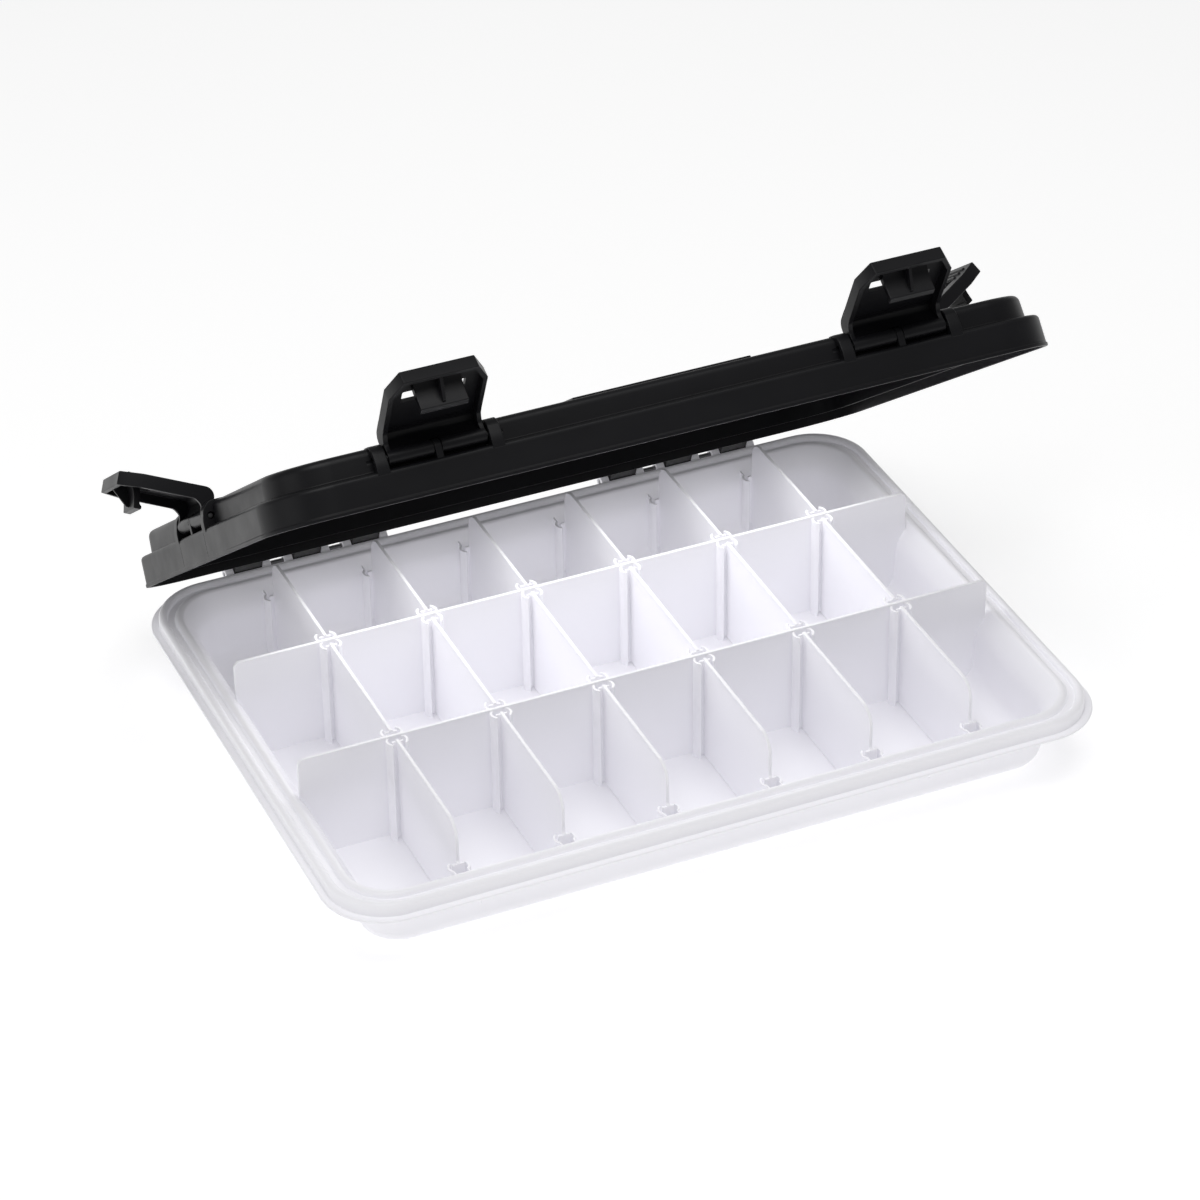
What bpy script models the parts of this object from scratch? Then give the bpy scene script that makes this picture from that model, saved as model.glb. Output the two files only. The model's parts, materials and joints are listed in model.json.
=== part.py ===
"""Fishing tackle box: compartment tray, lift-out dividers, pin-hinged lid and four swing latches.

Frame: metres, +Z up, X along the long side, -Y towards the front, hinge at the back (+Y).
The tray stands on Z = 0 and is centred on X = Y = 0. The lid and the latches are modelled
shut, on pivot empties, and the empties then turn them to the part-open rest pose.

Rim sections are given as pairs (inset, height): the inset is measured inwards from the
flange's outer edge, and the height from the flange's underside.
"""

import math

import bmesh
import bpy
from mathutils import Matrix, Vector

# Sizes are in millimetres. Booleans work at that scale, and finished meshes are then scaled.
MM = 0.001
GAP = 0.3
MERGE = 0.0001

FLANGE_LENGTH = 355.0
FLANGE_WIDTH = 264.0
FLANGE_RADIUS = 28.0
RADIUS_LOSS = 0.6
FLANGE_HEIGHT = 29.5
DIVIDER_PITCH = 47.5
COLUMNS = 6
LONG_WALL_Y = 39.2
LONG_WALL_THICKNESS = 1.6
LONG_WALL_INSET = 15.0
DIVIDER_TOP = 23.2
DIVIDER_THICKNESS = 1.5
DIVIDER_END_INSET = 22.3
DIVIDER_CORNER = 8.0
FLOOR_TOP = -27.7
HEAD_HALF_WIDTH = 2.7
HEAD_THICKNESS = 1.2
HEAD_SETBACK = 3.2
GUIDE_CENTRE = (0.9, 3.3)
GUIDE_RADIUS = 3.5
GUIDE_THICKNESS = 1.1
EDGE_GUIDE_TOP = 2.6

HINGE_Y = 139.0
HINGE_Z = 0.0
HINGE_GROUP_X = 93.0
HINGE_PITCH = 28.5
BARREL_HALF = 7.0
BARREL_RADIUS = 2.9
LUG_WIDTH = 3.9
LUG_RADIUS = 3.4
PIN_RADIUS = 1.25
LID_OPEN = 36.8

LATCH_X = 103.2
END_LATCH_Y = 9.0
LATCH_PIVOT_INSET = 5.6
LATCH_PIVOT_Z = 20.0
LATCH_HALF_WIDTH = 21.2
LATCH_END_HALF = 16.0
LATCH_LENGTH = 39.3
LATCH_TAPER_START = 29.9
LATCH_REACH = 12.5
LATCH_DEPTH = 5.9
LATCH_WALL = 2.0
LATCH_FACE = 1.8
LATCH_LUG_HALF = 1.5
HOOK_HALF = 10.2
POCKET_HALF = 22.0
LATCH_BARREL_RADIUS = 3.2
LATCH_PIN_RADIUS = 1.3
BOSS_WIDTH = 5.4
CATCH_HALF = 13.0
LATCH_OPEN = {"front_left": 120.0, "front_right": 119.0, "left": 114.5, "right": 120.0}
PIN_RECESS = 1.4

PANEL_HALF_LENGTH = 40.0
PANEL_INSET = 11.5
GRIP_ROWS = (28.6, 31.6, 34.6)
GRIP_HALF = 14.0

CORNER_STEPS = 6

# Colours, roughness: white translucent moulding, black moulding, rubber, steel.
WHITE = ((0.86, 0.86, 0.89), 0.35, 0.0)
CLEAR_WHITE = ((0.84, 0.84, 0.88), 0.32, 0.0)
BLACK = ((0.018, 0.018, 0.02), 0.38, 0.0)
RUBBER = ((0.05, 0.05, 0.055), 0.75, 0.0)
STEEL = ((0.55, 0.55, 0.56), 0.3, 1.0)


def clear_scene():
    for item in list(bpy.data.objects):
        bpy.data.objects.remove(item, do_unlink=True)


def make_collection(name):
    collection = bpy.data.collections.new(name)
    bpy.context.scene.collection.children.link(collection)
    return collection


def make_material(name, look):
    colour, roughness, metallic = look
    material = bpy.data.materials.new(name)
    material.use_nodes = True
    shader = material.node_tree.nodes["Principled BSDF"]
    shader.inputs["Base Color"].default_value = (*colour, 1.0)
    shader.inputs["Roughness"].default_value = roughness
    shader.inputs["Metallic"].default_value = metallic
    material.diffuse_color = (*colour, 1.0)
    return material


def smooth(mesh, angle=35.0):
    mesh.shade_smooth()
    mesh.set_sharp_from_angle(angle=math.radians(angle))


def finish_bmesh(bm, name):
    bmesh.ops.recalc_face_normals(bm, faces=bm.faces)
    mesh = bpy.data.meshes.new(name)
    bm.to_mesh(mesh)
    bm.free()
    smooth(mesh)
    return mesh


def to_metres(mesh):
    mesh.transform(Matrix.Scale(MM, 4))
    return mesh


def add_object(name, mesh, collection):
    item = bpy.data.objects.new(name, mesh)
    collection.objects.link(item)
    return item


def add_helper(name, mesh, cutters):
    """A body that only serves a Boolean: kept out of renders and shown as wire."""
    item = add_object(name, mesh, cutters)
    item.hide_render = True
    item.display_type = "WIRE"
    return item


def join_bodies(name, bodies, cutters):
    """Several closed meshes in one helper, for one Boolean."""
    bm = bmesh.new()
    for mesh in bodies:
        bm.from_mesh(mesh)
    joined = bpy.data.meshes.new(name)
    bm.to_mesh(joined)
    bm.free()
    for mesh in bodies:
        bpy.data.meshes.remove(mesh)
    return add_helper(name, joined, cutters)


def add_boolean(item, helper, operation):
    modifier = item.modifiers.new(f"{operation.lower()} {helper.name}", "BOOLEAN")
    modifier.operation = operation
    modifier.solver = "EXACT"
    modifier.use_self = operation == "UNION"
    modifier.object = helper


def evaluated_mesh(item, name):
    graph = bpy.context.evaluated_depsgraph_get()
    graph.update()
    mesh = bpy.data.meshes.new_from_object(item.evaluated_get(graph))
    mesh.name = name
    return mesh


def apply_booleans(item):
    """Give the item its evaluated mesh, and remove the helpers that shaped it."""
    mesh = evaluated_mesh(item, item.name)
    smooth(mesh)
    helpers = [modifier.object for modifier in item.modifiers]
    item.modifiers.clear()
    item.data = mesh
    for helper in helpers:
        bpy.data.objects.remove(helper)


def take_mesh(item):
    """The item's mesh with its Booleans applied; the item itself is removed."""
    apply_booleans(item)
    mesh = item.data
    bpy.data.objects.remove(item)
    return mesh


def arc(centre, radius, start, end, steps):
    """Points on an arc, in degrees, both ends included."""
    turns = [math.radians(start + (end - start) * i / steps) for i in range(steps + 1)]
    return [(centre[0] + radius * math.cos(t), centre[1] + radius * math.sin(t)) for t in turns]


def plate(outline, low, high, to_frame):
    """A flat outline in (u, v), extruded along w from low to high, then turned into the frame."""
    curve = bpy.data.curves.new("outline", "CURVE")
    curve.dimensions = "2D"
    curve.fill_mode = "BOTH"
    curve.extrude = (high - low) / 2
    spline = curve.splines.new("POLY")
    spline.points.add(len(outline) - 1)
    for point, (u, v) in zip(spline.points, outline):
        point.co = (u, v, 0.0, 1.0)
    spline.use_cyclic_u = True
    item = bpy.data.objects.new("outline", curve)
    bpy.context.scene.collection.objects.link(item)
    mesh = evaluated_mesh(item, "plate")
    bpy.data.objects.remove(item)
    bpy.data.curves.remove(curve)
    bm = bmesh.new()
    bm.from_mesh(mesh)
    bpy.data.meshes.remove(mesh)
    bmesh.ops.remove_doubles(bm, verts=bm.verts, dist=MERGE)
    bmesh.ops.translate(bm, vec=(0, 0, (high + low) / 2), verts=bm.verts)
    bmesh.ops.transform(bm, matrix=to_frame, verts=bm.verts)
    return finish_bmesh(bm, "plate")


def cylinder(radius, low, high, centre, axis_frame, sides=24):
    """A cylinder along w from low to high, round the point (u, v)."""
    bm = bmesh.new()
    bmesh.ops.create_cone(bm, cap_ends=True, segments=sides, radius1=radius, radius2=radius,
                          depth=high - low)
    bmesh.ops.translate(bm, vec=(centre[0], centre[1], (high + low) / 2), verts=bm.verts)
    bmesh.ops.transform(bm, matrix=axis_frame, verts=bm.verts)
    return finish_bmesh(bm, "cylinder")


def box(low, high, frame=None):
    bm = bmesh.new()
    bmesh.ops.create_cube(bm, size=1.0)
    size = [b - a for a, b in zip(low, high)]
    middle = [(a + b) / 2 for a, b in zip(low, high)]
    bmesh.ops.scale(bm, vec=size, verts=bm.verts)
    bmesh.ops.translate(bm, vec=middle, verts=bm.verts)
    if frame:
        bmesh.ops.transform(bm, matrix=frame, verts=bm.verts)
    return finish_bmesh(bm, "box")


def columns_matrix(u, v, w, origin=(0, 0, 0)):
    """The frame whose first, second and third axes are u, v and w."""
    matrix = Matrix((u, v, w)).transposed().to_4x4()
    matrix.translation = Vector(origin)
    return matrix


def section_frame(centre, turn):
    """Sections (inset, height, along the edge) to the box, for an edge facing -Y turned about Z.

    The inset grows towards the middle of the box, from the flange's edge at the turned side.
    """
    half = FLANGE_WIDTH / 2 if turn % 180 == 0 else FLANGE_LENGTH / 2
    inwards = Vector((0, 1, 0))
    along = Vector((-1, 0, 0))
    frame = columns_matrix(inwards, Vector((0, 0, 1)), -along, (0, -half, FLANGE_HEIGHT))
    return Matrix.Translation(centre) @ Matrix.Rotation(math.radians(turn), 4, "Z") @ frame


def rim_ring(inset, height):
    """A rounded rectangle at an inset from the flange's edge, as points in the frame."""
    half_x = FLANGE_LENGTH / 2 - inset
    half_y = FLANGE_WIDTH / 2 - inset
    radius = max(FLANGE_RADIUS - RADIUS_LOSS * inset, 4.0)
    points = []
    for sign_x, sign_y, start in ((1, -1, -90), (1, 1, 0), (-1, 1, 90), (-1, -1, 180)):
        centre = (sign_x * (half_x - radius), sign_y * (half_y - radius))
        points += arc(centre, radius, start, start + 90, CORNER_STEPS)
    return [(x, y, FLANGE_HEIGHT + height) for x, y in points]


def loft(section, closed=False):
    """A body of rounded rectangles, one for each (inset, height) of the section.

    An open section is capped at its first and last ring; a closed one makes an endless ring.
    """
    bm = bmesh.new()
    rings = [[bm.verts.new(p) for p in rim_ring(*step)] for step in section]
    pairs = list(zip(rings, rings[1:]))
    if closed:
        pairs.append((rings[-1], rings[0]))
    for lower, upper in pairs:
        for i in range(len(lower)):
            j = (i + 1) % len(lower)
            bm.faces.new((lower[i], lower[j], upper[j], upper[i]))
    if not closed:
        bm.faces.new(list(reversed(rings[0])))
        bm.faces.new(rings[-1])
    return finish_bmesh(bm, "loft")


# ---------------------------------------------------------------- tray

TRAY_MID_SECTION = [(15.0, 2.0), (18.3, -4.0), (19.8, -21.5), (22.2, -26.3), (25.5, -28.4)]


def tray_section():
    """The tray's section, from under the floor, out over the rim and back down to the floor."""
    outside = arc((27.7, -20.5), 9.0, 270, 180, 5)
    rim_under = [(17.4, -4.5), (16.4, -2.5), (13.6, 3.0), (4.9, 3.0), (4.6, 2.7), (4.6, 0.0)]
    lip = [(0.5, 0.0), (0.0, 0.4), (0.0, 0.8), (0.4, 1.2), (3.0, 1.2)]
    outer_ridge = [(3.15, 5.4), (3.8, 6.6), (5.0, 7.0), (6.1, 6.6), (6.6, 5.6), (6.7, 4.6)]
    inner_ridge = [(9.6, 4.6), (9.9, 5.9), (10.7, 6.7), (11.7, 6.9), (12.7, 6.6), (13.5, 5.7)]
    shoulder = [(15.7, 2.6), (18.4, -1.6), (19.3, -4.5)]
    inside = arc((28.4, -19.7), 8.0, 180, 270, 5)
    return outside + rim_under + lip + outer_ridge + inner_ridge + shoulder + inside


def column_positions():
    return [(i - (COLUMNS - 1) / 2) * DIVIDER_PITCH for i in range(COLUMNS)]


def long_walls():
    """Two fixed walls along the tray, their ends let into the tray's end walls."""
    half = FLANGE_LENGTH / 2
    right = [(half - e, z) for e, z in reversed(TRAY_MID_SECTION)]
    top_right = arc((half - LONG_WALL_INSET - 3, DIVIDER_TOP - 3), 3.0, 0, 90, 4)
    half_outline = right + top_right
    outline = half_outline + [(-x, z) for x, z in reversed(half_outline)]
    upright = columns_matrix(Vector((1, 0, 0)), Vector((0, 0, 1)), Vector((0, -1, 0)),
                             (0, 0, FLANGE_HEIGHT))
    thin = LONG_WALL_THICKNESS / 2
    return [plate(outline, y - thin, y + thin, upright) for y in (-LONG_WALL_Y, LONG_WALL_Y)]


def guide_outline(side, start, stem):
    """A guide's plan (across, away from its wall): an arc that closes round a divider's head."""
    half = GUIDE_THICKNESS / 2
    outer = arc(GUIDE_CENTRE, GUIDE_RADIUS + half, start, 58, 5)
    inner = arc(GUIDE_CENTRE, GUIDE_RADIUS - half, 58, start, 5)
    return [(side * across, away) for across, away in stem + outer + inner]


def plan_frame(x, y, turn):
    """Plans (across, away) at a place in the box, extruded upwards from the flange's level."""
    place = Matrix.Translation((x, y, FLANGE_HEIGHT))
    return place @ Matrix.Rotation(math.radians(turn), 4, "Z")


def wall_guides():
    """Pairs of curved guides on both faces of the long walls, which hold the dividers' heads."""
    bodies = []
    for x in column_positions():
        for wall_y in (-LONG_WALL_Y, LONG_WALL_Y):
            for turn in (0, 180):
                for side in (-1, 1):
                    bodies.append(plate(guide_outline(side, -62, []), FLOOR_TOP - 0.9,
                                        DIVIDER_TOP - 0.6, plan_frame(x, wall_y, turn)))
    return bodies


def edge_guides(cutters):
    """Curved guides on the front and back walls, cut off inside the thickness of the wall."""
    stem = [(2.5, -7.0), (3.6, -7.0)]
    guide_y = FLANGE_WIDTH / 2 - DIVIDER_END_INSET + HEAD_SETBACK
    bodies = []
    for x in column_positions():
        for y, turn in ((-guide_y, 0), (guide_y, 180)):
            for side in (-1, 1):
                bodies.append(plate(guide_outline(side, -52, stem), FLOOR_TOP - 2.0,
                                    EDGE_GUIDE_TOP, plan_frame(x, y, turn)))
    guides = join_bodies("edge_guides", bodies, cutters)
    core = loft(list(reversed(TRAY_MID_SECTION)) + [(14.4, EDGE_GUIDE_TOP + 1.0)])
    add_boolean(guides, add_helper("tray_core", core, cutters), "INTERSECT")
    return take_mesh(guides)


def latch_places():
    """Name, centre on its edge and turn of each latch's edge, counted from the front."""
    return [("front_left", (-LATCH_X, 0, 0), 0), ("front_right", (LATCH_X, 0, 0), 0),
            ("left", (0, END_LATCH_Y, 0), -90), ("right", (0, END_LATCH_Y, 0), 90)]


def latch_catches():
    """Blocks under the rim that the latches' hooks pull on."""
    return [plate([(4.9, -5.6), (7.4, -5.6), (7.4, 3.6), (4.9, 3.6)], -CATCH_HALF, CATCH_HALF,
                  section_frame(centre, turn))
            for _, centre, turn in latch_places()]


def barrel_positions():
    """Centres of the lid's hinge barrels along the hinge axis."""
    return [side * HINGE_GROUP_X + k * HINGE_PITCH for side in (-1, 1) for k in (-1, 0, 1)]


def side_frame():
    """Sections (y, z) of the box from its side, extruded along X; z is from the flange."""
    return columns_matrix(Vector((0, 1, 0)), Vector((0, 0, 1)), Vector((1, 0, 0)),
                          (0, 0, FLANGE_HEIGHT))


def hinge_lugs():
    """Lugs on both sides of each barrel, and a bridge between neighbouring pairs."""
    edge = FLANGE_WIDTH / 2
    round_end = arc((HINGE_Y, HINGE_Z), LUG_RADIUS, -90, 150, 8)
    lug = [(edge - 5.0, -0.2), (edge - 2.0, -2.6), (edge + 2.0, -3.4)] + round_end
    lug += [(edge + 1.4, 1.1), (edge - 1.0, 0.8), (edge - 5.0, 0.8)]
    bridge = [(edge - 2.0, 0.3), (edge - 2.0, -2.0), (edge + 4.4, -2.0), (edge + 4.4, 0.7),
              (edge - 0.6, 0.7)]
    bodies = []
    for x in barrel_positions():
        for side in (-1, 1):
            ends = sorted((x + side * BARREL_HALF, x + side * (BARREL_HALF + LUG_WIDTH)))
            bodies.append(plate(lug, ends[0], ends[1], side_frame()))
    for group in (-HINGE_GROUP_X, HINGE_GROUP_X):
        for side in (-1, 1):
            middle = group + side * HINGE_PITCH / 2
            half = HINGE_PITCH / 2 - BARREL_HALF - 1.0
            bodies.append(plate(bridge, middle - half, middle + half, side_frame()))
    return bodies


def hinge_bore(name, cutters):
    """The pin's bore through the lugs or the barrels, for both hinge groups."""
    reach = HINGE_PITCH + BARREL_HALF + LUG_WIDTH + 2.0
    bodies = [cylinder(PIN_RADIUS + GAP, x - reach, x + reach, (HINGE_Y, HINGE_Z), side_frame(),
                       sides=16)
              for x in (-HINGE_GROUP_X, HINGE_GROUP_X)]
    return join_bodies(name, bodies, cutters)


def make_tray(parts, cutters):
    tray = add_object("tray", loft(tray_section()), parts)
    additions = long_walls() + wall_guides() + [edge_guides(cutters)]
    add_boolean(tray, join_bodies("tray_walls_and_guides", additions, cutters), "UNION")
    fittings = latch_catches() + hinge_lugs()
    add_boolean(tray, join_bodies("tray_catches_and_lugs", fittings, cutters), "UNION")
    add_boolean(tray, hinge_bore("tray_hinge_bore", cutters), "DIFFERENCE")
    apply_booleans(tray)
    to_metres(tray.data)
    return tray


# ---------------------------------------------------------------- dividers

def divider_ends(row):
    """How far the divider's inner and outer ends are from the box's middle, in y."""
    if row == "middle":
        return HEAD_SETBACK - LONG_WALL_Y, LONG_WALL_Y - HEAD_SETBACK
    return LONG_WALL_Y + HEAD_SETBACK, FLANGE_WIDTH / 2 - DIVIDER_END_INSET


def divider_outline(row):
    """The divider's side view (y, z); front and back pieces follow the tray's outer wall."""
    bottom = FLOOR_TOP + GAP
    near, far = divider_ends(row)
    if row == "middle":
        return [(near, bottom), (far, bottom), (far, DIVIDER_TOP), (near, DIVIDER_TOP)]
    step = 1.0
    corner = arc((far - step - DIVIDER_CORNER, DIVIDER_TOP - DIVIDER_CORNER), DIVIDER_CORNER,
                 0, 90, 6)
    foot = [(far - 5.7, bottom), (far - 3.7, bottom + 0.4), (far - 1.2, bottom + 2.4),
            (far, bottom + 4.9)]
    return [(near, bottom)] + foot + [(far, 3.6), (far - step, 4.6)] + corner + [(near, DIVIDER_TOP)]


def divider_heads(row):
    """The cross bars on the divider's ends, which slide down inside the guides."""
    bottom = FLOOR_TOP + GAP
    near, far = divider_ends(row)
    wide = HEAD_HALF_WIDTH
    inner = box((-wide, near, bottom), (wide, near + HEAD_THICKNESS, DIVIDER_TOP - 0.8))
    if row == "middle":
        outer_span = (bottom, DIVIDER_TOP - 0.8)
    else:
        outer_span = (bottom + 5.2, 3.6)
    outer = box((-wide, far - HEAD_THICKNESS, outer_span[0]), (wide, far, outer_span[1]))
    return [inner, outer]


def make_divider_mesh(row, cutters):
    half = DIVIDER_THICKNESS / 2
    frame = columns_matrix(Vector((0, 1, 0)), Vector((0, 0, 1)), Vector((1, 0, 0)))
    body = add_object(f"divider_{row}", plate(divider_outline(row), -half, half, frame), cutters)
    add_boolean(body, join_bodies("divider_heads", divider_heads(row), cutters), "UNION")
    mesh = take_mesh(body)
    side = -1 if row == "front" else 1
    mesh.transform(Matrix.Diagonal((side, side, 1, 1)))
    mesh.transform(Matrix.Translation((0, 0, FLANGE_HEIGHT)))
    return to_metres(mesh)


def make_dividers(parts, cutters):
    dividers = []
    for row in ("back", "middle", "front"):
        mesh = make_divider_mesh(row, cutters)
        for number, x in enumerate(column_positions(), start=1):
            divider = add_object(f"divider_{row}_{number}", mesh, parts)
            divider.location.x = x * MM
            dividers.append(divider)
    return dividers


# ---------------------------------------------------------------- lid

def lid_section():
    """The lid's section, from the top panel down over dome, ledge and skirt and back inside."""
    dome = [(14.0, 25.9), (9.8, 25.7), (7.9, 24.8), (7.1, 23.0), (6.6, 16.2), (6.0, 15.7)]
    skirt = [(3.2, 15.5), (2.2, 15.0), (1.6, 14.0), (1.3, 3.4), (0.9, 2.8), (0.9, 2.0),
             (1.3, 1.5), (2.7, 1.5)]
    channel = [(3.1, 11.6), (7.4, 11.6), (7.5, 5.4), (8.9, 5.4)]
    ceiling = [(9.1, 22.4), (9.8, 23.7), (11.5, 24.1)]
    return dome + skirt + channel + ceiling


def top_panel():
    """The slightly raised middle of the lid's top, from front to back."""
    half_x, half_y = PANEL_HALF_LENGTH, FLANGE_WIDTH / 2 - PANEL_INSET
    outline = [(-half_x, -half_y), (half_x, -half_y), (half_x, half_y), (-half_x, half_y)]
    frame = Matrix.Translation((0, 0, FLANGE_HEIGHT))
    return [plate(outline, 25.2, 26.6, frame)]


def latch_brackets():
    """Two bosses, a middle lug and the pocket's inner wall for each latch."""
    boss = [(1.5, 13.5), (1.5, 17.5), (2.4, 21.5), (4.4, 24.6), (7.6, 26.2), (12.5, 26.3),
            (12.5, 25.0), (8.2, 24.0), (8.0, 13.5)]
    pocket_wall = [(8.4, 14.0), (13.2, 14.0), (13.2, 24.9), (8.4, 24.9)]
    bodies = []
    for _, centre, turn in latch_places():
        frame = section_frame(centre, turn)
        for side in (-1, 1):
            edges = sorted((side * POCKET_HALF, side * (POCKET_HALF + BOSS_WIDTH)))
            bodies.append(plate(boss, edges[0], edges[1], frame))
        bodies.append(plate(pocket_wall, -POCKET_HALF - 2.0, POCKET_HALF + 2.0, frame))
    return bodies


def latch_pockets():
    """The space between a latch's bosses, cut out of the dome's edge."""
    outline = [(-2.0, 16.2), (11.2, 16.2), (11.2, 32.0), (-2.0, 32.0)]
    return [plate(outline, -POCKET_HALF, POCKET_HALF, section_frame(centre, turn))
            for _, centre, turn in latch_places()]


def latch_middle_lugs():
    """The lug between the two halves of a latch's barrel."""
    round_top = arc((LATCH_PIVOT_INSET, LATCH_PIVOT_Z), LATCH_BARREL_RADIUS, 180, 0, 8)
    outline = round_top + [(8.8, 17.6), (11.9, 17.0), (11.9, 15.0), (2.4, 15.0)]
    return [plate(outline, -LATCH_LUG_HALF, LATCH_LUG_HALF, section_frame(centre, turn))
            for _, centre, turn in latch_places()]


def latch_bores():
    centre_point = (LATCH_PIVOT_INSET, LATCH_PIVOT_Z)
    reach = POCKET_HALF + BOSS_WIDTH + 2.0
    return [cylinder(LATCH_PIN_RADIUS + GAP, -reach, reach, centre_point,
                     section_frame(centre, turn), sides=20)
            for _, centre, turn in latch_places()]


def lid_barrels():
    """Hinge barrels with webs that carry them on the lid's back skirt."""
    edge = FLANGE_WIDTH / 2
    web = [(edge - 1.5, 2.2), (edge + 0.6, 1.6), (edge + 4.4, -0.6), (HINGE_Y, HINGE_Z),
           (HINGE_Y + 1.6, HINGE_Z + 2.3), (HINGE_Y - 0.6, 3.4), (edge + 1.6, 8.4),
           (edge - 1.5, 9.2)]
    half = BARREL_HALF - GAP
    bodies = []
    for x in barrel_positions():
        bodies.append(plate(web, x - half + 0.05, x + half - 0.05, side_frame()))
        bodies.append(cylinder(BARREL_RADIUS, x - half, x + half, (HINGE_Y, HINGE_Z),
                               side_frame()))
    return bodies


def make_lid(parts, cutters):
    lid = add_object("lid", loft(lid_section()), parts)
    shell_additions = top_panel() + latch_brackets() + lid_barrels()
    add_boolean(lid, join_bodies("lid_brackets", shell_additions, cutters), "UNION")
    add_boolean(lid, join_bodies("lid_latch_pockets", latch_pockets(), cutters), "DIFFERENCE")
    add_boolean(lid, join_bodies("lid_middle_lugs", latch_middle_lugs(), cutters), "UNION")
    add_boolean(lid, join_bodies("lid_latch_bores", latch_bores(), cutters), "DIFFERENCE")
    add_boolean(lid, hinge_bore("lid_hinge_bore", cutters), "DIFFERENCE")
    apply_booleans(lid)
    to_metres(lid.data)
    return lid


def make_gasket(parts):
    """The rubber ring in the lid's channel, just above the tray's outer ridge."""
    section = [(3.5, 8.1), (4.3, 7.3), (6.3, 7.3), (7.1, 8.1), (7.1, 11.3), (3.5, 11.3)]
    return add_object("gasket", to_metres(loft(section, closed=True)), parts)


# ---------------------------------------------------------------- latches

# A latch is modelled shut with its pivot at the origin. Its sections are pairs (out, down):
# out is measured away from the box, and down from the pivot towards the hook.

def latch_side_frame():
    return columns_matrix(Vector((0, -1, 0)), Vector((0, 0, -1)), Vector((1, 0, 0)))


def latch_face_frame():
    """Outlines (across, down), extruded outwards."""
    return columns_matrix(Vector((1, 0, 0)), Vector((0, 0, -1)), Vector((0, -1, 0)))


def latch_outline(inset):
    """The latch's face, tapered towards its end; an inset one keeps its walls' thickness."""
    wide = LATCH_HALF_WIDTH - inset
    right = [(wide, 2.6), (wide, LATCH_TAPER_START - 0.26 * inset),
             (LATCH_END_HALF - 0.59 * inset, LATCH_LENGTH - inset)]
    return right + [(-x, down) for x, down in reversed(right)]


def latch_arm_outline(solid):
    """The curved top of the latch, from its face back to the pivot.

    The solid one is the cheek at each side; the other is the thin top between the cheeks.
    """
    heel = 4.5
    outer = arc((LATCH_REACH - heel, 3.0), heel, -90, 0, 5)
    start = arc((0, 0), LATCH_BARREL_RADIUS - 0.05, 90, 300, 10)
    if solid:
        edge = LATCH_REACH - LATCH_DEPTH
        inner = [(LATCH_REACH, 9.0), (edge, 9.0), (edge, 6.5), (4.4, 3.4), (1.6, 3.1)]
    else:
        thickness = 1.9
        inner = [(LATCH_REACH, 4.0), (LATCH_REACH - thickness, 4.0)]
        inner += arc((LATCH_REACH - heel, 3.0), heel - thickness, 0, -90, 4)
        inner += [(4.6, 0.6), (2.6, 1.8)]
    return start + outer + inner


def latch_hook_outline():
    """The hook, from its root on the latch's face to the lip that pulls on the tray."""
    concave = [(11.2, 36.0), (10.2, 33.6), (7.8, 31.5), (4.5, 30.3), (1.0, 29.7), (-0.9, 29.5)]
    lip = [(-0.9, 26.2), (0.5, 26.2), (1.2, 27.2)]
    back = [(4.5, 27.6), (8.5, 28.3), (11.2, 29.0)]
    return concave + lip + back


def latch_hook_rib_outline():
    """The gusset along the middle of the hook, from the end wall's edge to the lip."""
    return [(11.2, 38.0), (6.8, 37.9), (0.4, 30.8), (0.4, 29.2), (6.0, 30.2), (11.2, 34.0)]


def latch_hollows():
    """The latch's open back, its open neck and the window above the hook."""
    frame = latch_face_frame()
    inner_edge = LATCH_REACH - LATCH_DEPTH
    face_back = LATCH_REACH - LATCH_FACE
    neck = LATCH_HALF_WIDTH - LATCH_WALL
    neck_outline = [(-neck, 0.0), (neck, 0.0), (neck, 8.0), (-neck, 8.0)]
    window = [(-13.6, 20.4), (13.6, 20.4), (13.6, 27.2), (-13.6, 27.2)]
    return [plate(latch_outline(LATCH_WALL), inner_edge - 2.0, face_back, frame),
            plate(neck_outline, inner_edge - 1.0, face_back, frame),
            plate(window, inner_edge, LATCH_REACH + 2.0, frame)]


def latch_additions():
    """Cheeks, curved top, hook, barrel and grip ribs."""
    frame = latch_side_frame()
    edge = LATCH_HALF_WIDTH
    cheek = latch_arm_outline(True)
    bodies = [plate(cheek, -edge, -edge + LATCH_WALL, frame),
              plate(cheek, edge - LATCH_WALL, edge, frame),
              plate(latch_arm_outline(False), -edge + 0.6, edge - 0.6, frame),
              plate(latch_hook_outline(), -HOOK_HALF, HOOK_HALF, frame),
              plate(latch_hook_rib_outline(), -0.7, 0.7, frame),
              cylinder(LATCH_BARREL_RADIUS, -edge, edge, (0, 0), frame)]
    for down in GRIP_ROWS:
        grip = [(LATCH_REACH - 0.5, down - 0.9), (LATCH_REACH + 0.8, down - 0.5),
                (LATCH_REACH + 0.8, down + 0.5), (LATCH_REACH - 0.5, down + 0.9)]
        bodies.append(plate(grip, -GRIP_HALF, GRIP_HALF, frame))
    return bodies


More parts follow.
